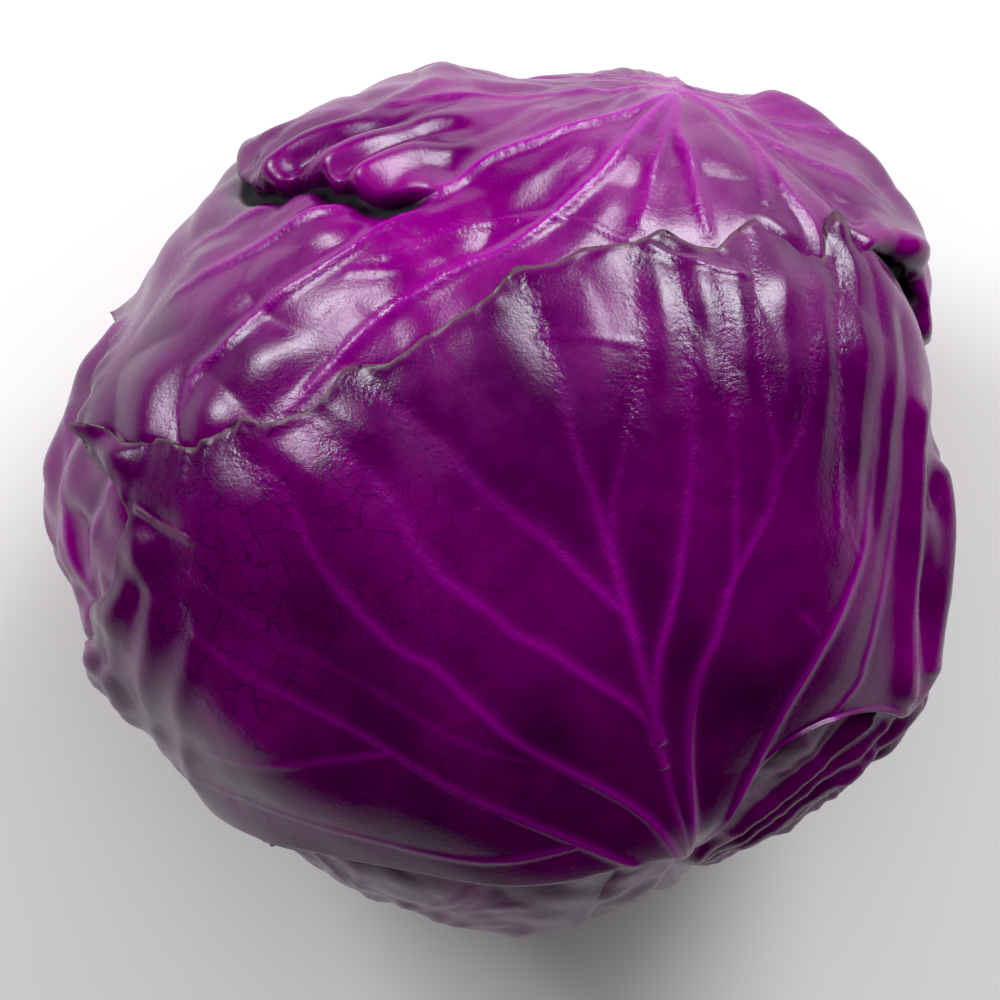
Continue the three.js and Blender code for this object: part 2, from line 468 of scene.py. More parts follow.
def leaf_material():
    """Waxy purple leaf: veins, dried rims and pale bases come from painted attributes, and so does painted
    shade, near black, in gaps and hollows.
    """
    material, tree = new_material("leaf")
    g = Graph(tree)
    place = g.node("ShaderNodeTexCoord").outputs["Object"]
    warp = g.node("ShaderNodeTexNoise", {"Vector": place, "Scale": 260.0, "Detail": 2.0}).outputs["Color"]
    bent = g.node("ShaderNodeVectorMath", {0: warp, 1: (0.5, 0.5, 0.5)}, operation="SUBTRACT").outputs[0]
    bent = g.node("ShaderNodeVectorMath", {0: bent, "Scale": 0.0032}, operation="SCALE").outputs[0]
    bent = g.node("ShaderNodeVectorMath", {0: place, 1: bent}, operation="ADD").outputs[0]
    net = g.cell_walls(bent, 235.0, 0.045)
    small_net = g.cell_walls(bent, 560.0, 0.08)
    patches = g.noise(place, 38.0, 4.0)
    cloud = g.noise(place, 95.0, 5.0, 0.6)
    silk = g.noise(place, 2100.0, 3.0, 0.75)
    pucker = g.math("MULTIPLY", g.noise(place, 800.0, 3.0, 0.6), g.attribute("wrinkle"))
    grain = g.noise(place, 620.0, 4.0, 0.6)

    tone = g.math("ADD", g.attribute("tone"), g.ramp(patches, 0.3, 0.7, -0.16, 0.16))
    tone = g.math("ADD", tone, g.ramp(cloud, 0.3, 0.7, -0.13, 0.13), clamp=True)
    colour = g.mix(tone, DEEP, MAGENTA)
    net_amount = g.math("MULTIPLY", net, g.math("MULTIPLY", g.attribute("net"), g.ramp(patches, 0.35, 0.6)))
    colour = g.mix(g.math("MULTIPLY", net_amount, 0.6), colour, CELL_WALL)
    colour = g.mix(g.math("MULTIPLY", small_net, 0.08), colour, SMALL_CELL_WALL)
    colour = g.mix(g.attribute("vein"), colour, VEIN)
    # painted shade: where the tone attribute is painted below zero, in gaps and hollows, the colour goes to
    # near black
    shade = g.ramp(g.attribute("tone"), -0.7, -0.05, 1.0, 0.0)
    colour = g.mix(shade, colour, SHADE)
    pale = g.math("MULTIPLY", g.attribute("pale"), g.ramp(grain, 0.25, 0.75, 0.75, 1.0))
    colour = g.mix(pale, colour, PALE)
    colour = g.mix(g.math("MULTIPLY", g.attribute("under"), 0.45), colour, UNDERSIDE)
    rim = g.math("MULTIPLY", g.attribute("rim"), g.ramp(grain, 0.3, 0.6, 0.6, 1.0), clamp=True)
    colour = g.mix(rim, colour, DRIED)

    rough = g.ramp(cloud, 0.3, 0.7, 0.2, 0.3)
    rough = g.math("ADD", rough, g.math("MULTIPLY", rim, 0.3))
    rough = g.math("ADD", rough, g.math("MULTIPLY", shade, 0.6), clamp=True)
    normal = g.bump(silk, 0.32, 0.00014)
    normal = g.bump(grain, 0.25, 0.00018, normal)
    normal = g.bump(pucker, 0.6, 0.0004, normal)
    normal = g.bump(net_amount, 0.12, 0.0001, normal)
    normal = g.bump(small_net, 0.12, 0.00005, normal)
    shader = g.node(
        "ShaderNodeBsdfPrincipled",
        {
            "Base Color": colour,
            "Roughness": rough,
            "Normal": normal,
            "Specular IOR Level": 0.42,
        },
    )
    g.node("ShaderNodeOutputMaterial", {"Surface": shader.outputs[0]})
    return material


STEM_PITH = (0.66, 0.55, 0.40)
STEM_LIGHT = (0.80, 0.72, 0.58)
STEM_RING = (0.36, 0.14, 0.28)
STEM_RIM = (0.26, 0.16, 0.10)


def stem_material():
    """Raw cut stem: cream flesh with a purple ring and a browned rim."""
    material, tree = new_material("stem")
    g = Graph(tree)
    place = g.node("ShaderNodeTexCoord").outputs["Object"]
    fibre = g.noise(place, 900.0, 5.0, 0.65)
    blotch = g.noise(place, 120.0, 4.0)
    ring = g.math("MULTIPLY", g.attribute("ring"), g.ramp(fibre, 0.3, 0.7, 0.5, 1.0))
    rim = g.math("MULTIPLY", g.attribute("rim"), g.ramp(blotch, 0.35, 0.6))
    colour = g.mix(g.ramp(blotch, 0.3, 0.7), STEM_PITH, STEM_LIGHT)
    colour = g.mix(ring, colour, STEM_RING)
    colour = g.mix(rim, colour, STEM_RIM)
    normal = g.bump(fibre, 0.6, 0.0004)
    shader = g.node(
        "ShaderNodeBsdfPrincipled", {"Base Color": colour, "Roughness": 0.72, "Normal": normal}
    )
    g.node("ShaderNodeOutputMaterial", {"Surface": shader.outputs[0]})
    return material


LEAF = leaf_material()
STEM = stem_material()


# ---------------------------------------------------------------- the leaves
# Height of each leaf's outer face over the outer skin, in millimetres
DEPTH = {
    "front_wrapper_leaf": 0.0,
    "back_wrapper_leaf": -1.5,
    "left_leaf": -2.4,
    "right_front_leaf": -2.4,
    "right_leaf": -3.3,
    "front_leaf": -3.3,
    "left_back_leaf": -3.3,
    "right_back_leaf": -4.2,
    "heart": -5.4,
}

# A leaf's sides are lists of chart points: "base" and "tip" run from the left to the right side,
# and "left" and "right" run from the base to the tip.
FRONT_RAGGED_RIM = [
    (70, 26), (64, 29), (57, 31), (50, 33.5), (46.8, 35.4), (44, 38), (41.8, 35.5), (41, 30.6),
    (38, 32.5), (35, 34), (33, 35.9), (31, 35.2), (28, 32.7), (25.5, 30), (22.4, 30.6),
    (19.9, 32.8), (17, 31.3), (14, 30.3), (10, 30), (7, 28.4), (4, 28.2), (1.6, 28.2),
    (-0.5, 25), (-2.4, 23), (-6.2, 20.4), (-8.8, 18.8), (-10.3, 17.3), (-13, 15.4),
    (-15.6, 15.8), (-18.6, 15.4), (-19.9, 13.2), (-21.4, 11.2), (-24, 10.3), (-27.4, 9.3),
    (-30, 9.8), (-33, 10.6), (-35.6, 8.6), (-38, 7.9), (-40, 6.7), (-45.6, 8.5), (-53, 8.2),
    (-57, 10.6), (-64, 11.2),
]
FRONT_SIDES = {
    "base": [(50, -155), (68, -151), (83, -142)],
    "right": [
        (83, -142, 0), (72, -120), (54, -92), (38, -68), (33.4, -58, 0.16), (33, -50), (35, -41),
        (37.5, -35), (40.3, -31.5, 0.31), (45.7, -29.8), (51.5, -29.9), (57, -31.3), (61.5, -33),
        (64.8, -32.6, 0.48), (67.8, -29.5), (71, -24), (75, -14), (76, -4), (74.5, 8), (73, 18),
        (70, 26, 1),
    ],
    "left": [
        (50, -155, 0), (42, -130), (34, -100), (29, -74), (27.6, -59, 0.16), (25, -54.2), (20, -53.3),
        (12, -55), (4.4, -56), (-2, -56), (-18, -57.5), (-40, -60, 0.41), (-62, -61), (-78, -57),
        (-85, -48), (-86, -38, 0.59), (-81, -29.5), (-74, -25), (-67, -21), (-64.6, -17, 0.77), (-59, -14),
        (-56.2, -11.3), (-54.7, -7), (-51.3, -2.8), (-53.4, 1.3), (-56.6, 5.4), (-60, 8), (-64, 11.2, 1),
    ],
    "tip": FRONT_RAGGED_RIM[::-1],
}
# Veins, creases and folds are curves of chart points with a strength
FRONT_VEINS = [
    ([(66, -150), (56, -112), (40, -78), (31, -61), (28, -52), (25, -45), (22, -36), (20.9, -31.7),
      (17.8, -22.9), (14.3, -13.8)], 1.25),
    ([(23.6, -56), (11, -47.5), (-0.5, -40), (-14, -33), (-27, -28), (-38.9, -22.7), (-45, -15)], 0.75),
    ([(31, -61), (22.7, -47.3), (15.5, -40.3), (6.7, -33.4), (1.5, -29), (-3.8, -23.6), (-8.2, -19.6),
      (-12.3, -17.8), (-18.8, -11.4), (-22, -5.3), (-24.2, 0.4), (-31.2, 5.4), (-33.9, 9.5)], 0.95),
    ([(22, -36), (18.8, -28.8), (15.7, -25.4), (9.4, -20.6), (5.4, -17.3), (1.4, -14.9), (-1.6, -12),
      (-6.2, -8.9), (-9.4, -4.9), (-10.8, -0.8), (-14, 2.7), (-19, 6), (-22.4, 8.5)], 0.9),
    ([(20.9, -31.7), (17.8, -22.9), (14.3, -13.8), (12, -11.1), (7.8, -7.2), (4.4, -3.9), (1.3, -1.5),
      (-1.5, 0.8), (-5, 4.3), (-7, 6.4), (-12.3, 10.7), (-18.3, 14.6)], 1.0),
    ([(15.6, -16.5), (13.5, -11.2), (12.1, -7.5), (10.7, -4), (9, 0.7), (7, 4.4), (6.3, 10.6), (5.1, 17),
      (4, 22.4), (2.8, 27)], 0.95),
    ([(19.9, -31.6), (18.5, -19.4), (18.8, -13.8), (19.7, -5.8), (20, -2.6), (20.2, 3), (19.3, 10.6),
      (19.8, 18.7), (20.2, 24.9), (20.2, 28.3)], 0.9),
    ([(12.2, -8), (11.4, -4), (11.4, 1.3), (12.3, 7.2), (13.8, 10.2), (15.4, 17.7), (15, 21.5),
      (15.4, 30)], 0.5),
    ([(31, -61), (27.4, -44.8), (25.2, -34.3), (23.9, -26.3), (24, -20.3), (25, -15.7), (26, -9.9),
      (28.6, -5), (31, -0.8), (31.9, 3.3), (34.3, 8), (35.7, 12.7), (36.1, 19.2), (37.1, 27.4),
      (38.8, 32)], 1.0),
    ([(30.9, 1), (30.9, 4.8), (29.3, 9.8), (28.1, 14.9), (27.9, 20), (29.6, 26.4), (30.4, 33.3)], 0.6),
    ([(26.5, -8), (26, 2.3), (24.4, 7.8), (23.8, 14.5), (24.6, 19.7), (24.4, 26.4)], 0.5),
    ([(31.5, -60), (35, -38.6), (36.3, -30.4), (37.3, -25.3), (39.9, -18.8), (43.2, -13.8), (47.3, -7),
      (48.4, -2.6), (48.7, 1.7), (48.9, 8.2), (49, 17.2), (48.4, 23.2), (48.3, 28.7), (47.5, 34.1)], 1.0),
    ([(42.5, -3), (41.6, 5), (41, 12.5), (40.6, 19.7), (40.7, 23), (42, 25.9), (42.8, 30.8)], 0.6),
    ([(47, -8), (44, -2), (42, 6)], 0.35),
    ([(36.5, -14), (38.2, -15.5), (40, -17)], 0.45),
    ([(33, -56), (36.8, -46), (45, -30.3), (48.8, -24.4), (49.2, -21.5), (51, -15.8), (54, -4),
      (55, 10), (54, 24)], 0.7),
    ([(61.7, -26.5), (59.2, -21.5), (60.3, -16.3), (62, -9.7), (62, 0.8), (63.6, 12)], 0.55),
    ([(11, -47.5), (-6, -50), (-22, -50), (-40, -50), (-60, -52)], 0.5),
    ([(-14, -33), (-30, -38), (-48, -41), (-66, -42)], 0.4),
    ([(6.7, -33.4), (-4, -30), (-16, -24), (-30, -18), (-42, -10)], 0.3),
]
FRONT_TEAR = [(-49.3, -1.1), (-45.2, -3.3), (-41, -4.4), (-39.5, -5.7)]
FRONT_CREASES = [
    ([(4.5, 18.3), (9.2, 17.4), (14.2, 16.3)], 0.5),
    ([(17, 30.1), (20, 28.4), (22.8, 27.3), (25.2, 26.5), (29.1, 25.8)], 1.0),
    (FRONT_TEAR, 0.9),
]
FRONT_FOLDS = [
    ([(59, 12), (59.8, 4), (59.3, -4.2), (58.3, -14.2), (58.8, -25.5), (62.5, -31)], 1.0),
    ([(71, 4), (70, -6), (68.2, -14.2), (66.7, -21.5), (65.2, -28)], 1.0),
    ([(-54, -13), (-60, -20), (-68, -31), (-76, -46)], 0.6),
    ([(-48, -13), (-54, -24), (-62, -37), (-70, -54)], 0.5),
    ([(-60, -18), (-69, -25), (-80, -36)], 0.5),
    ([(-42, -18), (-49, -30), (-56, -44), (-60, -56)], 0.35),
]


# Rows of height in mm, chart point, and width and height in degrees, with a turn where needed
FRONT_TOP_LOBES = [(2.2, 43.8, 37.5, 2.2, 2.6), (2.4, -62, 11, 4.5, 2.2), (1.2, -54, 6, 4, 3)]
FRONT_LEFT_LOBES = [(1.4, -60, -17, 7, 4, 20), (1.1, -50, -8, 3, 4), (-0.7, -46, -3, 4, 2)]
FRONT_NECK = [(1.1, 30, -56, 9, 4), (-0.9, 26, -61.5, 9, 1.6, 14)]
FRONT_RIGHT_RIM = [(-1.6, 66.5, 1.5, 2.2, 4), (-1.4, 63, -16, 1.8, 12), (1.1, 61, -28, 4, 7)]


def front_relief(uv, p, edge, ridge, nearest):
    """Height of the front wrapper over its skin: veins, soft swells, and its worked rims."""
    u, v = uv.T
    upper = smoothstep(-12, 24, v)
    creased = smoothstep(-14, 10, v)
    height = ridge * (1 - 0.6 * upper) - 0.3
    height += 0.8 * waves(p, 36, 1) + 0.1 * waves(p, 13, 2) * (0.3 + upper)
    height += (0.35 + 0.75 * creased) * (1 - np.exp(-nearest / 4))
    height += 0.3 * np.abs(waves(p, 24, 4)) * (0.25 + 0.75 * upper)
    height += 0.04 * streaks(uv, (31, -66), 3) * (0.3 + upper)
    # the ragged rim presses down on the leaf behind it, and lifts in small lobes
    along_top = smoothstep(-6, 6, v)
    height -= 0.6 * np.exp(-edge / 6.0) * along_top
    height += np.exp(-edge / 1.5) * 0.22 * waves(p, 4, 6) * along_top
    height += bumps(uv, FRONT_TOP_LOBES)
    # it sinks under the lip of the leaf behind, down to a hollow that is painted dark with shade in its
    # tone
    height -= 3.0 * spot(uv, 62, 32, 13, 6.5, -25) * smoothstep(47, 54, u)
    # the lower right rim lifts a little
    lifted = smoothstep(-20, -28, v) * smoothstep(-52, -46, v) * smoothstep(34, 42, u)
    height += 0.8 * hump(edge - 2.0, 2.0) * lifted
    # the left rim curls in lobes above and presses down below
    height += bumps(uv, FRONT_LEFT_LOBES) - 1.5 * hump(edge, 3) * smoothstep(-66, -78, u)
    curl = smoothstep(-56, -66, u) * smoothstep(-12, -24, v)
    height += curl * (0.5 * np.sin(u * 0.55 + v * 0.3) + 0.3 * waves(p, 7, 8)) * np.exp(-edge / 14)
    height -= 0.9 * curl
    # the bottom rim hugs the leaf below it, and gathers at the neck
    height -= 2.5 * hump(edge, 4.5) * smoothstep(-46, -58, v) * smoothstep(-40, -10, u)
    height += bumps(uv, FRONT_NECK)
    # rolled tubes and hollows along the right rim
    return height + veins(p, FRONT_FOLDS, 1.5, 2.6, 0.9)[0] + bumps(uv, FRONT_RIGHT_RIM)


def front_wrapper(uv, p, edge):
    """Shape and paint of the leaf that lies over the front of the head."""
    u, v = uv.T
    ridge, mask, nearest = veins(p, FRONT_VEINS, 0.6, 0.85)
    crease, crease_mask, _ = veins(p, FRONT_CREASES, 0.5, 0.6, 1.0)
    height = DEPTH["front_wrapper_leaf"] + crease + front_relief(uv, p, edge, ridge, nearest)
    dried = smoothstep(-4, 6, v) * smoothstep(60, 50, u)
    dried += spot(uv, -60, 6, 9, 12) + spot(uv, -66, -19, 3, 3)
    tear = line_field(p, FRONT_TEAR, 3)[0]
    from_neck = np.hypot(u - 31, v + 61)
    tone = 0.14 + 0.34 * np.exp(-from_neck / 26) + 0.12 * smoothstep(5, 40, v)
    # painted shade: the colour is a little darker along the creases
    tone += 0.08 * smoothstep(20, 60, u) + 0.08 * waves(p, 30, 9) - 0.1 * crease_mask
    # painted light: the lower right lobe is painted a brighter magenta; painted shade: the hollow under the
    # lip of the leaf behind is painted near black
    tone += 0.4 * spot(uv, 60, -23, 5, 12) - 1.4 * spot(uv, 63, 29, 9, 2.6, -30)
    creased = smoothstep(-14, 10, v)
    return height, {
        "vein": np.clip(mask * (0.8 - 0.55 * creased) + 0.15 * crease_mask, 0, 1),
        "rim": np.clip(hump(edge, 0.55) * np.clip(dried, 0, 1) + 0.8 * hump(tear, 0.4), 0, 1),
        "tone": tone,
        "pale": 0.45 * smoothstep(115, 155, np.hypot(u, v)),
        "net": 0.25 + 0.75 * smoothstep(10, -20, u),
        "wrinkle": hump(nearest, 1.8) * smoothstep(-24, -10, v) * smoothstep(52, 40, u),
    }


BACK_SIDES = {
    "base": [(83, 144), (64, 156), (42, 160)],
    "left": [(83, 144), (90, 118), (96, 92), (96, 70), (93, 56), (89, 44), (84, 34), (78, 28)],
    "right": [
        (42, 160), (10, 148), (-23, 130), (-53, 108), (-72, 88), (-84, 70), (-91, 54), (-88, 44),
        (-80, 38), (-74, 33), (-69.5, 25), (-67.6, 20.5), (-68, 15.6), (-66, 9), (-61, 5),
    ],
    "tip": [
        (78, 28), (73, 27.5), (69, 30.5), (65, 33.2), (61.5, 33), (57.5, 33), (53, 33.5), (48, 31.5),
        (43, 27), (30, 25), (15, 20), (0, 14), (-15, 6), (-30, 1), (-45, 0), (-61, 5),
    ],
}
BACK_VEINS = [
    ([(63, 152), (48, 112), (34, 82), (27.5, 67), (27, 60)], 1.5),
    ([(27.5, 66), (33, 60), (36.8, 51.2), (38, 42.9), (39.8, 37.3), (41, 32.5)], 0.95),
    ([(36.8, 51), (35.3, 43.9), (34.4, 38.2)], 0.5),
    ([(27, 62), (25, 52.7), (25.6, 46), (25.4, 39.2), (25.4, 34.5), (25.6, 31.5)], 0.85),
    ([(26, 60), (21.7, 48.5), (19.5, 41.8), (18, 36.7), (16.2, 33)], 0.75),
    ([(26.5, 62), (20.4, 54.3), (13.2, 44), (6.5, 36.7), (1.2, 32.2), (-4.8, 29.2), (-10.5, 24.6),
      (-14.9, 21.6), (-19.3, 17.8), (-23.4, 14.7), (-28.6, 9.7)], 1.0),
    ([(26, 62), (16, 56), (8.3, 52.5), (5.4, 51), (-0.9, 48.6), (-4.3, 45.7), (-10.4, 39.5), (-15, 36.3),
      (-19.3, 32.7), (-24.5, 29.8), (-28.7, 27.8), (-32.3, 26), (-38.4, 20.8), (-42.2, 18.4),
      (-43.5, 14.4), (-45.1, 10)], 0.95),
    ([(-19.6, 40.2), (-25.6, 39.8), (-32.3, 38), (-40.7, 35.5), (-48.5, 33.5), (-53.3, 31.5)], 0.8),
    ([(-28, 45), (-38, 45), (-47.3, 44), (-57, 43)], 0.7),
    ([(28, 66), (40, 56), (50, 50), (60, 44)], 0.7),
    ([(28, 68), (44, 64), (58, 60), (72, 54)], 0.6),
    ([(29, 72), (48, 78), (64, 80), (80, 78)], 0.6),
    ([(27, 68), (10, 66), (-4, 66), (-20, 62)], 0.7),
    ([(30, 76), (8, 84), (-12, 88), (-34, 86)], 0.7),
    ([(36, 88), (14, 104), (-10, 112), (-30, 110)], 0.6),
    ([(6.5, 36.7), (-2, 36), (-8, 34), (-16, 30)], 0.35),
]
BACK_CREASES = [
    ([(6.4, 36.6), (10.8, 34.8), (13.7, 32.8), (16.3, 31.4)], 0.8),
    ([(-19.2, 28.9), (-13, 28.4), (-6.9, 28)], 0.6),
]
# Lower edge of the folded ruffle, from its right end to its far lobe at the left, and its folds
RUFFLE = [
    (-7, 42), (-10.2, 41.8), (-12, 41.5), (-14, 41.2), (-16.2, 40.8), (-18.5, 42), (-20, 43.8),
    (-21.5, 44.5), (-23.5, 44.8), (-25, 47.2), (-27.2, 47.5), (-30.5, 48), (-33, 47.8), (-36, 50),
    (-39.2, 50.8), (-42.5, 54.2), (-44, 57.2), (-45.5, 63.2),
]
RUFFLE_FOLDS = [
    ([(-34.5, 51), (-29.5, 54.5), (-22.8, 57.8), (-16, 65.8), (-8.2, 71.2)], 1.15),
    ([(-24.8, 48), (-21.2, 49.8), (-16.8, 53), (-11, 57.2), (-4.8, 59.5)], 0.8),
    ([(-18.8, 44), (-16, 46), (-12.5, 49), (-8, 50.8), (-3, 52)], 1.0),
    ([(-42, 55.5), (-46.5, 71), (-42, 73.5), (-36, 76.5), (-25.8, 70.2)], 0.8),
    ([(-39, 56), (-40.5, 63), (-33.5, 63.2), (-24.8, 64)], 0.5),
]
RUFFLE_VALLEYS = [
    ([(-30.2, 50.5), (-27, 51.8), (-19.8, 55.5), (-15, 58.5), (-10, 61.8), (-5, 64.8)], 1.0),
    ([(-21.2, 46), (-18.5, 47.5), (-14.2, 51.2), (-9.5, 55.2), (-3, 56.2)], 0.9),
    ([(-40.8, 56), (-40, 59.8), (-36, 62.8), (-28.2, 63.8)], 0.6),
]
LIP_FOLDS = [([(48, 70), (57, 61), (62, 55), (65.5, 48), (65, 42), (61, 37), (57, 33)], 1.0)]
LIP_VALLEYS = [([(38, 58), (43, 49), (48, 42), (51, 38)], 1.0)]


# How far the edge of the ruffle hangs over in the chart, and how the lip rolls, in degrees
RUFFLE_HANG = (-0.25, -1.0)
FAR_LOBE_HANG = (-0.9, 0.7)
LIP_ROLL = (-0.3, -0.5)


def ruffle(uv, p):
    """The folded ruffle that hangs over a gap painted dark with shade: its height, its tone with painted
    light on the folds and painted shade in the valleys, the gap, and its hang.
    """
    u, v = uv.T
    line = np.array(RUFFLE)[::-1]
    above = np.where(v > np.interp(u, line[:, 0], line[:, 1], left=90, right=200), 1.0, -1.0)
    over = np.clip(above * line_field(p, RUFFLE, 30.0)[0], -30, 60)
    inward = np.clip(over, 0, None)
    reach = smoothstep(-6, -13, u)
    folds = veins(p, RUFFLE_FOLDS, 1.0, 2.7, 0.1)[0]
    valleys = veins(p, RUFFLE_VALLEYS, 1.0, 1.7, 0.1)[0]
    step = smoothstep(-0.4, 0.5, over)
    round_edge = quarter_round(over, 2.8)
    # the gap under the hanging edge: sunk, and painted near black with shade through the tone
    shaded_gap = reach * hump(over + 1.6, 1.9) * (1 - step)
    height = reach * (step * 0.5 + 1.7 * round_edge) * np.exp(-inward / 26) - 2.0 * shaded_gap
    height += (2.2 * folds - 1.8 * valleys) * (round_edge * reach + (1 - reach) * smoothstep(0, 4, v - 43))
    hang = reach * step * np.exp(-inward / 3.5) * (1.3 + 0.6 * np.clip(folds, 0, 1))
    far_end = smoothstep(-39, -45, u)[:, None]
    shift = hang[:, None] * (np.array(RUFFLE_HANG) + np.array(FAR_LOBE_HANG) * far_end)
    # the second value is painted light on the crests of the folds and painted shade in their valleys
    return height, reach * (0.25 * folds - 0.2 * valleys), shaded_gap, shift


def rolled_lip(uv, p, edge):
    """The lip rolled over the front wrapper: its height, where it is, and the pit under it, which is
    painted dark with shade.
    """
    u, v = uv.T
    lip = smoothstep(45, 53, u) * smoothstep(66, 46, v)
    shaded_hollow = lip * smoothstep(72, 66, u)
    within = np.clip(edge - 2.0 * shaded_hollow, 0, None)
    bead = quarter_round(within, 3.6)
    # the pit under the lip: sunk, and painted near black with shade through the tone
    shaded_pit = shaded_hollow * smoothstep(2.5, 1.8, edge)
    height = lip * (2.6 * bead * np.exp(-within / 16) - 1.2 * (1 - bead)) - 1.2 * shaded_pit
    height += bead * veins(p, LIP_FOLDS, 2.2, 3.8, 1.0)[0]
    height -= bead * veins(p, LIP_VALLEYS, 1.5, 3.4, 1.0)[0]
    return height, lip, shaded_pit


def back_wrapper(uv, p, edge):
    """Shape and paint of the leaf that lies over the back, with its ruffle and its rolled lip."""
    u, v = uv.T
    ridge, mask, nearest = veins(p, BACK_VEINS, 0.9, 1.15)
    crease, crease_mask, _ = veins(p, BACK_CREASES, 0.45, 0.6, 1.0)
    front_rim = np.array(FRONT_RAGGED_RIM)[::-1]
    covered = smoothstep(1.0, -3.0, v - np.interp(u, front_rim[:, 0], front_rim[:, 1]))
    covered *= smoothstep(52, 46, u)
    from_neck = np.hypot(u - 27.5, v - 67)
    relief = ridge + crease + 0.75 * waves(p, 34, 11) + 0.12 * waves(p, 12, 12)
    relief += 0.4 * smoothstep(0, 8, nearest) + 0.5 * np.abs(waves(p, 22, 14))
    relief += 0.08 * streaks(uv, (27.5, 72), 13)
    relief += 0.9 * spot(uv, 27.5, 66, 6, 9) + 0.5 * smoothstep(22, 4, from_neck)
    ruffle_height, ruffle_painted_light_and_shade, shaded_gap, shift = ruffle(uv, p)
    lip_height, lip, shaded_pit = rolled_lip(uv, p, edge)
    height = DEPTH["back_wrapper_leaf"] - 0.25 + relief * (1 - 0.93 * covered)
    height += ruffle_height + lip_height
    height += 0.5 * smoothstep(-60, -70, u) * np.exp(-edge / 4) * (1 + waves(p, 6, 15))
    shift = shift + (lip * np.exp(-edge / 4.5))[:, None] * np.array(LIP_ROLL)
    # painted light: the crest of the rolled lip is painted a lighter magenta
    painted_light_on_lip = lip * hump(edge - 3.4, 3.0)
    tone = 0.5 + 0.25 * np.exp(-from_neck / 24) - 0.22 * smoothstep(-20, -60, u) + 0.35 * painted_light_on_lip
    tone -= 0.2 * smoothstep(38, 60, u) * (1 - painted_light_on_lip) + 0.1 * waves(p, 26, 16)
    # painted shade: the gap under the ruffle and the pit under the lip are painted near black; the ruffle
    # adds painted light on its fold crests and painted shade in its valleys
    tone += ruffle_painted_light_and_shade - 1.5 * shaded_gap - 2.0 * shaded_pit
    return height, {
        "vein": np.clip(mask * 0.8 * (1 - shaded_gap) + 0.15 * crease_mask, 0, 1),
        "rim": 0.6 * hump(edge, 0.6) * smoothstep(-50, -66, u),
        "tone": tone,
        "pale": np.clip(0.3 * spot(uv, 27.8, 71, 4, 7) + 0.6 * smoothstep(110, 152, np.hypot(u, v)), 0, 1),
        "net": 0.15 + 0.4 * smoothstep(-20, -50, u),
        "wrinkle": 0.8 * hump(nearest, 1.6),
    }, shift


def plain_leaf(name, covers, base, tip, reach, seed, tone=0.35, extra=None, streaky=0.3):
    """The shape function of an outer leaf with veins drawn by rule, under the leaves in covers."""
    lines = pinnate(base, tip, reach)

    def shape(uv, p, edge):
        ridge, mask, nearest = veins(p, lines, 1.0, 1.4)
        fibres = streaks(uv, base, seed + 2, 22)
        relief = ridge + 0.4 * waves(p, 28, seed) + 0.2 * waves(p, 9, seed + 1)
        relief += streaky * fibres + 0.3 * smoothstep(0, 8, nearest)
        relief += 0.4 * np.abs(waves(p, 18, seed + 6)) + np.exp(-edge / 3) * 0.4 * waves(p, 8, seed + 3)
        if extra:
            relief += extra(uv, p, edge)
        relief -= 1.0 * hump(edge, 2.4)
        covered = np.max([under(uv, p, outer) for outer in covers], axis=0)
        # the hollow under the lip of the back wrapper: sunk, and painted dark with shade through the tone
        shaded_hollow = spot(uv, 62, 31, 12, 5, -25)
        height = DEPTH[name] + relief * (1 - 0.9 * covered) - 0.25 - 1.2 * shaded_hollow
        rho = np.hypot(uv[:, 0], uv[:, 1])
        paleness = 0.5 * smoothstep(116, 156, rho) + 0.35 * mask * smoothstep(100, 145, rho)
        shading = 0.12 * waves(p, 22, seed + 5) - 0.1 * smoothstep(0.5, 1.5, fibres)
        return height, {
            "vein": np.clip(mask * 0.75, 0, 1),
            "rim": hump(edge, 0.6) * 0.5 * smoothstep(-0.3, 0.8, waves(p, 14, seed + 4)),
            "tone": tone - 1.6 * shaded_hollow + shading,
            "pale": np.clip(paleness, 0, 1),
            "net": np.full(len(p), 0.3),
            "wrinkle": np.zeros(len(p)),
        }

    return shape


def left_extra(uv, p, edge):
    """Waves along the outer side, and a slightly rolled rim."""
    u, v = uv.T
    wavy = 0.5 * np.sin(u * 0.5 - v * 0.16) * smoothstep(-58, -70, u)
    return wavy + 0.4 * hump(edge - 3, 3) + 0.8 * spot(uv, -80, 8, 6, 30)


def right_extra(uv, p, edge):
    """A rim that stands out at the right, in waves."""
    u, v = uv.T
    wavy = 0.8 * np.sin(v * 0.34) * smoothstep(70, 80, u)
    return (1.7 + wavy) * spot(uv, 82, -8, 14, 26)


RIGHT_FRONT_STREAKS = [
    ([(33, -67), (40, -53), (48, -42), (57, -31)], 1.0),
    ([(35, -68), (46, -52), (55, -41), (65, -31)], 0.9),
    ([(36, -70), (50, -54), (62, -43), (74, -33)], 1.0),
    ([(37, -72), (54, -58), (68, -47), (82, -35)], 0.8),
    ([(38, -76), (58, -64), (74, -52), (90, -38)], 0.9),
]


def right_front_extra(uv, p, edge):
    """Long straight folds that run up from the neck."""
    return veins(p, RIGHT_FRONT_STREAKS, 1.5, 1.7, 1.0)[0]


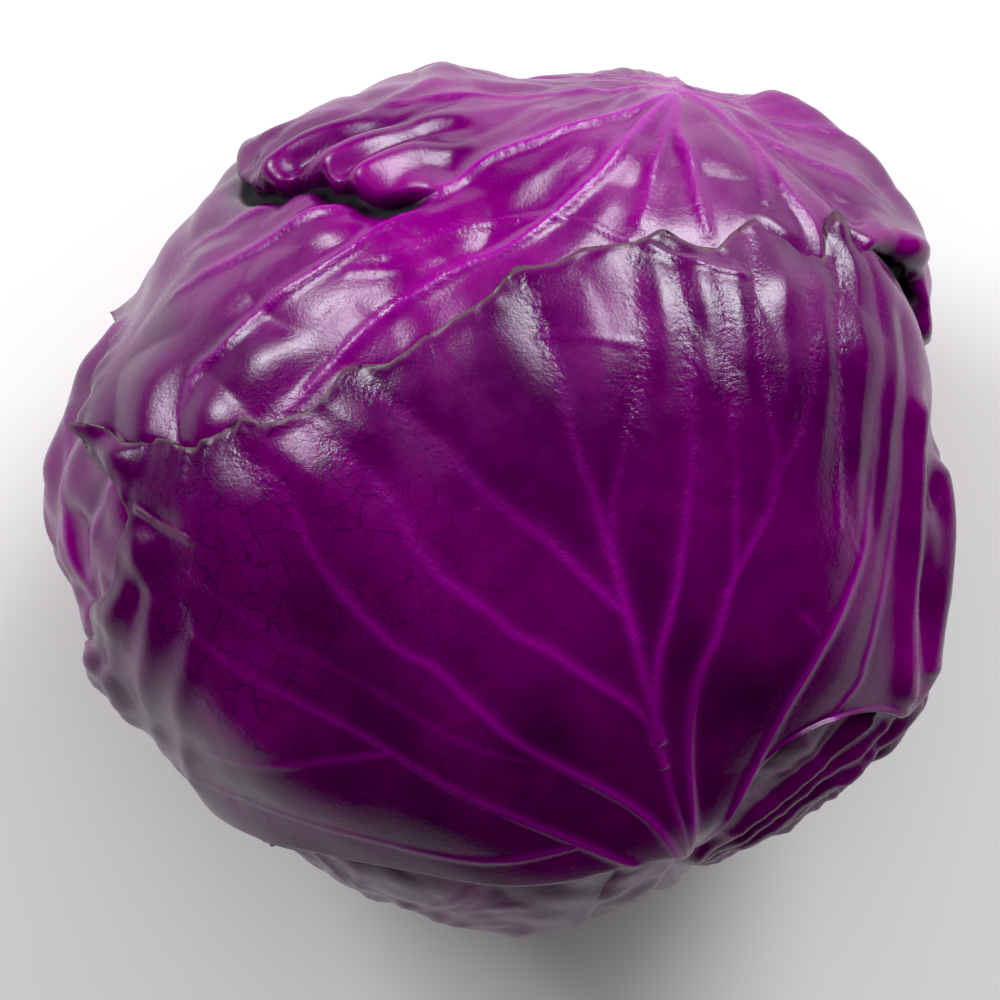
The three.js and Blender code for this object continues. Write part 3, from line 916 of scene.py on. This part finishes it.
PLAIN_LEAVES = {
    "left_leaf": dict(
        sides={
            "base": [(-149, -73), (-138, -97), (-115, -119)],
            "left": [(-149, -73), (-144, -41), (-136, 5), (-117, 42), (-95, 59), (-75, 53)],
            "right": [(-115, -119), (-91, -117), (-72, -106), (-57, -92), (-49, -73), (-46, -51)],
            "tip": [(-75, 53), (-62, 36), (-50, 22), (-44, 5), (-42, -15), (-41, -32), (-46, -51)],
        },
        base=(-135, -97), tip=(-52, 8), reach=62, seed=30, tone=0.62, extra=left_extra, streaky=0.22,
    ),
    "right_front_leaf": dict(
        sides={
            "base": [(65, -133), (93, -138), (120, -120)],
            "left": [(65, -133), (40, -124), (23, -108), (15, -87), (17, -66), (22, -49)],
            "right": [(120, -120), (136, -95), (131, -73), (122, -49), (109, -27), (92, -20)],
            "tip": [(22, -49), (28, -36), (39, -28), (57, -25), (70, -23), (92, -20)],
        },
        base=(88, -128), tip=(58, -28), reach=52, seed=40, tone=0.35, extra=right_front_extra, streaky=0.3,
    ),
    "right_leaf": dict(
        sides={
            "base": [(149, -73), (163, -44), (166, -12)],
            "left": [(149, -73), (123, -83), (100, -84), (79, -76), (67, -60), (59, -41)],
            "right": [(166, -12), (150, 11), (128, 32), (104, 51), (81, 55), (65, 47)],
            "tip": [(59, -41), (54, -22), (52, -5), (52, 14), (55, 32), (65, 47)],
        },
        base=(160, -44), tip=(56, 8), reach=62, seed=50, tone=0.35, extra=right_extra, streaky=0.3,
    ),
    "front_leaf": dict(
        sides={
            "base": [(-68, -152), (-35, -165), (-6, -166)],
            "left": [(-68, -152), (-91, -117), (-100, -84), (-93, -58), (-76, -48)],
            "right": [(-6, -166), (16, -149), (32, -128), (43, -106), (44, -86), (34, -70)],
            "tip": [(-76, -48), (-55, -46), (-36, -46), (-17, -47), (2, -51), (19, -57), (34, -70)],
        },
        base=(-34, -162), tip=(-24, -50), reach=58, seed=60, tone=0.3, streaky=0.32,
    ),
    "left_back_leaf": dict(
        sides={
            "base": [(-78, 147), (-104, 133), (-123, 111)],
            "left": [(-78, 147), (-36, 146), (-5, 132), (12, 113), (13, 93), (3, 74)],
            "right": [(-123, 111), (-121, 88), (-117, 62), (-108, 35), (-94, 20), (-76, 19)],
            "tip": [(3, 74), (-10, 57), (-24, 44), (-40, 33), (-57, 25), (-76, 19)],
        },
        base=(-102, 130), tip=(-40, 50), reach=58, seed=70, tone=0.35,
    ),
    "right_back_leaf": dict(
        sides={
            "base": [(161, 40), (157, 63), (141, 88)],
            "left": [(161, 40), (149, 21), (132, 0), (113, -16), (92, -20), (73, -10)],
            "right": [(141, 88), (115, 96), (85, 101), (57, 99), (39, 88), (34, 70)],
            "tip": [(73, -10), (58, 2), (48, 16), (41, 32), (36, 50), (34, 70)],
        },
        base=(155, 62), tip=(56, 30), reach=60, seed=80, tone=0.3,
    ),
}

# Rows and columns of a leaf's outer sheet: one more than a multiple of INNER_STRIDE
WRAPPER_GRID = (337, 269)
PLAIN_GRID = (201, 181)

build_leaf("front_wrapper_leaf", FRONT_SIDES, front_wrapper, LEAF, *WRAPPER_GRID)
build_leaf("back_wrapper_leaf", BACK_SIDES, back_wrapper, LEAF, *WRAPPER_GRID)
over_it = [FRONT_SIDES, BACK_SIDES]
for name, leaf in PLAIN_LEAVES.items():
    leaf = dict(leaf)
    sides = leaf.pop("sides")
    build_leaf(name, sides, plain_leaf(name, list(over_it), **leaf), LEAF, *PLAIN_GRID)
    over_it.append(sides)


# ---------------------------------------------------------------- heart and stem
def round_body(name, material, outline, around, paint):
    """A closed body of rings, from outline(azimuths). The first and the last ring are points."""
    rings = outline(np.linspace(0, 2 * math.pi, around, endpoint=False))
    count = len(rings)
    vertices = np.vstack([rings[0][:1], *rings[1:-1], rings[-1][:1]])
    faces, flat = [], []
    last = len(vertices) - 1
    for row in range(count - 1):
        for c in range(around):
            d = (c + 1) % around
            upper = [0, 0] if row == 0 else [1 + (row - 1) * around + c, 1 + (row - 1) * around + d]
            lower = [last, last] if row == count - 2 else [1 + row * around + c, 1 + row * around + d]
            v0, v1 = (MAP_MARGIN + MAP_HEIGHT * k / (count - 1) for k in (row, row + 1))
            u0, u1 = (MAP_MARGIN + MAP_HEIGHT * k / around for k in (c, c + 1))
            if row == 0:
                faces.append([upper[0], lower[0], lower[1]])
                flat += [((u0 + u1) / 2, v0), (u0, v1), (u1, v1)]
            elif row == count - 2:
                faces.append([upper[0], lower[0], upper[1]])
                flat += [(u0, v0), ((u0 + u1) / 2, v1), (u1, v0)]
            else:
                faces.append([upper[0], lower[0], lower[1], upper[1]])
                flat += [(u0, v0), (u0, v1), (u1, v1), (u1, v0)]
    make_object(name, vertices, faces, material, paint(vertices), np.array(flat))


HEART_RINGS = 121


def heart_rings(azimuth):
    """Rings from the crown to the base, a little inside the leaves."""
    crown = skin(np.array([[0.001, 0]])) + [0, 0, DEPTH["heart"]]
    base = skin(np.array([[179.9, 0]])) - [0, 0, DEPTH["heart"]]
    rings = []
    for rho in np.linspace(0, 180, HEART_RINGS)[1:-1]:
        uv = rho * np.stack([np.cos(azimuth), np.sin(azimuth)], 1)
        p = skin(uv)
        height = DEPTH["heart"] + 0.3 * waves(p, 24, 90) + 0.2 * waves(p, 8, 91)
        rings.append(p + skin_normal(uv) * height[:, None])
    return [crown, *rings, base]


def heart_paint(vertices):
    values = {key: np.zeros(len(vertices)) for key in ("vein", "rim", "under", "wrinkle")}
    values["tone"] = np.full(len(vertices), 0.25)
    values["net"] = np.full(len(vertices), 0.3)
    values["pale"] = 0.5 * smoothstep(30, 10, vertices[:, 2])
    return values


# Radius and height of the stem's rings, from the middle of the cut face to its hidden top
STEM_PROFILE = [
    (0, 0.0), (3, 0.0), (6, 0.0), (8.5, 0.0), (10.5, 0.0), (11.6, 0.0), (12.3, 0.35), (12.9, 1.1),
    (13.2, 2.2), (13.1, 3.6), (13.3, 5.0), (13.8, 6.4), (14.3, 7.6), (14.2, 8.8), (12.8, 9.8),
    (9, 10.3), (0, 10.4),
]
# Lobes round the stem, their depth as a share of the radius, and their phase
STEM_WOBBLE = [(3, 0.025, 0.6), (7, 0.015, 2), (23, 0.006, 0)]


def stem_rings(azimuth):
    wobble = 1 + sum(depth * np.sin(lobes * azimuth + phase) for lobes, depth, phase in STEM_WOBBLE)
    rings = []
    for radius, z in STEM_PROFILE[::-1]:
        x, y = radius * wobble * np.cos(azimuth), radius * wobble * np.sin(azimuth)
        rings.append(np.stack([x, y, np.full_like(x, z)], 1))
    return rings


def stem_paint(vertices):
    """A purple ring on the cut face and up the side, and a browned rim."""
    radius = np.hypot(vertices[:, 0], vertices[:, 1])
    z = vertices[:, 2]
    ring = 0.5 * hump(radius - 9.6, 1.0) * (z < 0.2) + 0.7 * smoothstep(3, 9, z)
    return {"ring": ring, "rim": hump(radius - 12.3, 0.8) * (z < 2)}


round_body("heart", LEAF, heart_rings, 168, heart_paint)
round_body("cut_stem", STEM, stem_rings, 120, stem_paint)


# ---------------------------------------------------------------- floor, light and camera
HEAD_MIDDLE = (0, 0, 0.07)
LIGHT_COLOUR = (0.92, 0.95, 1.0)
FLOOR_SIZE = 6
FLOOR_COLOUR = (0.68, 0.65, 0.63, 1)
WORLD_STRENGTH = 0.05
CAMERA_PLACE = (-0.00016, 0.00016, 0.9)
SENSOR_WIDTH = 36
LENS = 190.6
BLACK_LEVEL = 0.007


def softbox(name, azimuth, elevation, distance, width, height, power):
    """A rectangular light aimed at the middle of the head, in degrees, metres and watts."""
    data = bpy.data.lights.new(name, "AREA")
    data.shape = "RECTANGLE"
    data.size, data.size_y, data.energy = width, height, power
    data.color = LIGHT_COLOUR
    light = bpy.data.objects.new(name, data)
    a, e = math.radians(azimuth), math.radians(elevation)
    away = Vector((math.cos(a) * math.cos(e), math.sin(a) * math.cos(e), math.sin(e)))
    light.location = Vector(HEAD_MIDDLE) + distance * away
    light.rotation_euler = (-away).to_track_quat("-Z", "Y").to_euler()
    bpy.context.scene.collection.objects.link(light)
    return light


def add_floor():
    bpy.ops.mesh.primitive_plane_add(size=FLOOR_SIZE)
    floor = bpy.context.object
    floor.name = "floor"
    material, tree = new_material("pale_floor")
    g = Graph(tree)
    shader = g.node("ShaderNodeBsdfPrincipled", {"Base Color": FLOOR_COLOUR, "Roughness": 0.8})
    g.node("ShaderNodeOutputMaterial", {"Surface": shader.outputs[0]})
    floor.data.materials.append(material)


def add_world():
    world = bpy.data.worlds.new("studio")
    world.use_nodes = True
    world.node_tree.nodes.clear()
    g = Graph(world.node_tree)
    background = g.node("ShaderNodeBackground", {"Color": (1, 1, 1, 1), "Strength": WORLD_STRENGTH})
    g.node("ShaderNodeOutputWorld", {"Surface": background.outputs[0]})
    bpy.context.scene.world = world


def add_camera():
    """A camera over the head that looks straight down."""
    data = bpy.data.cameras.new("camera")
    data.sensor_width = SENSOR_WIDTH
    data.lens = LENS
    camera = bpy.data.objects.new("camera", data)
    camera.location = CAMERA_PLACE
    bpy.context.scene.collection.objects.link(camera)
    bpy.context.scene.camera = camera


add_floor()
add_world()
softbox("window_light", 57, 29, 1.1, 0.44, 0.5, 15.0)
softbox("left_light", 141, 33, 1.1, 0.4, 0.3, 11)
fill = softbox("overhead_fill", 80, 78, 1.5, 1.4, 1.4, 14)
fill.visible_glossy = False
add_camera()
view = bpy.context.scene.view_settings
view.view_transform = "Standard"
view.use_curve_mapping = True
view.curve_mapping.black_level = (BLACK_LEVEL,) * 3
view.curve_mapping.update()
